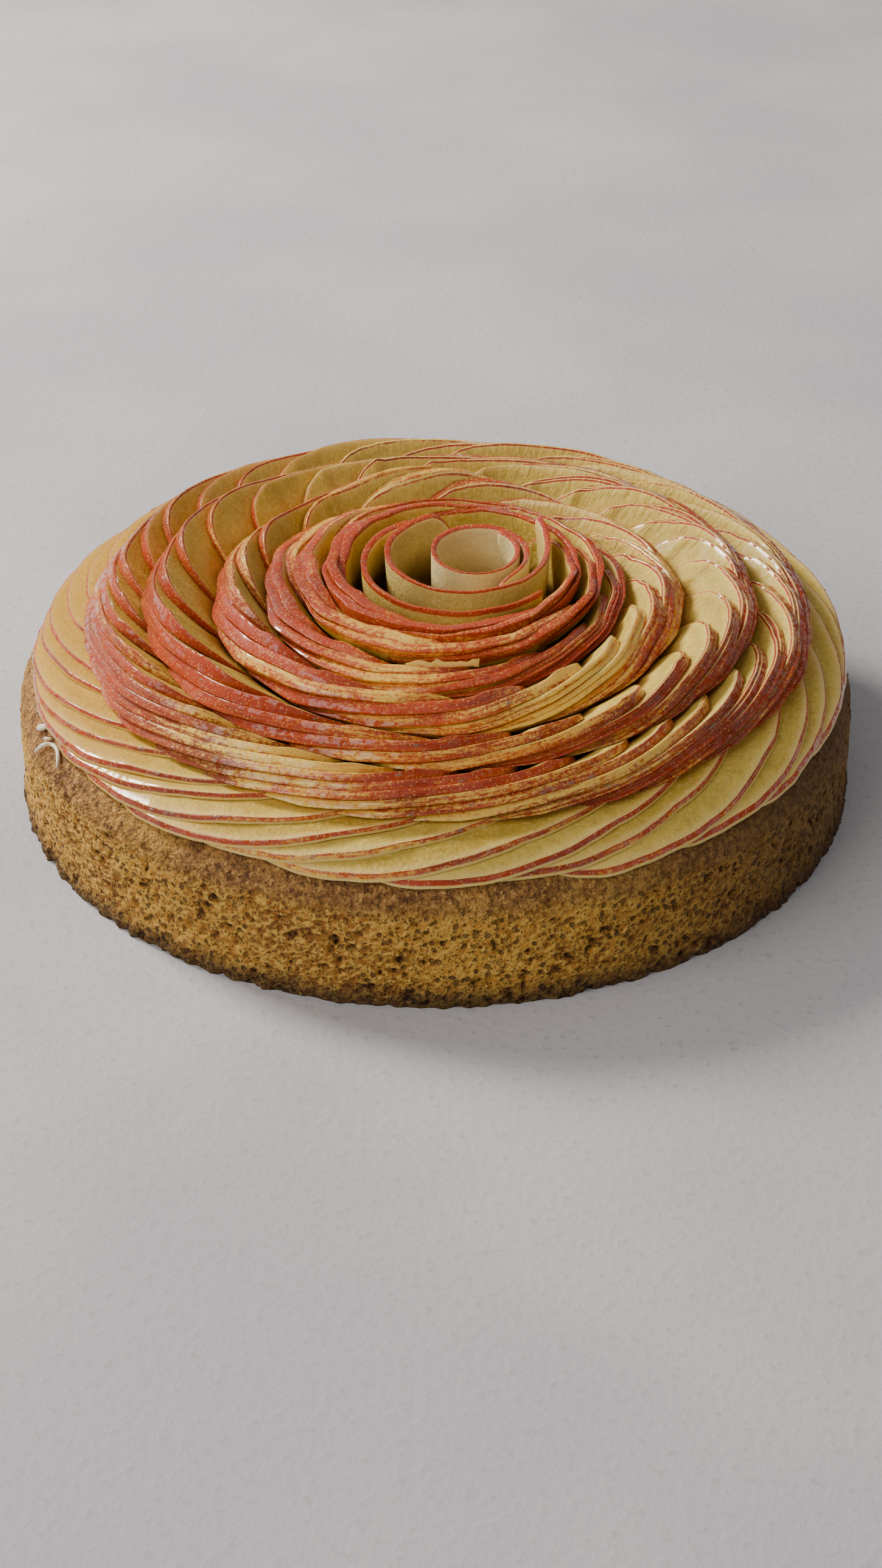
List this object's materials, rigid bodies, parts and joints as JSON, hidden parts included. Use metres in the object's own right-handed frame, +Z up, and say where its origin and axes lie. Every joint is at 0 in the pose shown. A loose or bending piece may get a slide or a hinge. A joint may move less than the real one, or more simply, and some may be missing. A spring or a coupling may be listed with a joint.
{
  "type": "french apple tart",
  "caption": "Round uncut apple tart: a thick golden crumb base under a glazed rose of thin red-skinned apple slices, with a rolled slice at its centre.",
  "frame": {"origin": "centre of the flat underside of the base", "axes": "+Z up through the rose; -Y is the side towards the viewer of the picture and +X is that viewer's right"},
  "size_m": [0.2227, 0.2227, 0.0636],
  "materials": {
    "crumb": "porous baked crumb, browned at the edges",
    "apple": "moist glazed apple flesh with a red skin at the rim",
    "paring": "pale cut peel"
  },
  "bodies": {
    "root": {"apple_a_01": "apple", "apple_a_02": "apple", "apple_a_03": "apple", "apple_a_04": "apple", "apple_a_05": "apple", "apple_a_06": "apple", "apple_a_07": "apple", "apple_a_08": "apple", "apple_a_09": "apple", "apple_a_10": "apple", "apple_b_01": "apple", "apple_b_02": "apple", "apple_b_03": "apple", "apple_b_04": "apple", "apple_b_05": "apple", "apple_b_06": "apple", "apple_b_07": "apple", "apple_b_08": "apple", "apple_b_09": "apple", "apple_b_10": "apple", "apple_b_11": "apple", "apple_c_01": "apple", "apple_c_02": "apple", "apple_c_03": "apple", "apple_c_04": "apple", "apple_c_05": "apple", "apple_c_06": "apple", "apple_c_07": "apple", "apple_c_08": "apple", "apple_d_01": "apple", "apple_d_02": "apple", "apple_d_03": "apple", "apple_d_04": "apple", "apple_d_05": "apple", "apple_d_06": "apple", "apple_e_01": "apple", "apple_e_02": "apple", "apple_e_03": "apple", "apple_e_04": "apple", "apple_f_01": "apple", "apple_f_02": "apple", "apple_f_03": "apple", "apple_flake": "apple", "apple_g_01": "apple", "apple_g_02": "apple", "apple_g_03": "apple", "apple_g_04": "apple", "apple_g_05": "apple", "apple_roll": "apple", "apple_wrap_inner": "apple", "apple_wrap_outer": "apple", "peel_chip": "paring", "peel_curl": "paring", "peel_strip": "paring", "tart_base": "crumb"}
  },
  "joints": []
}
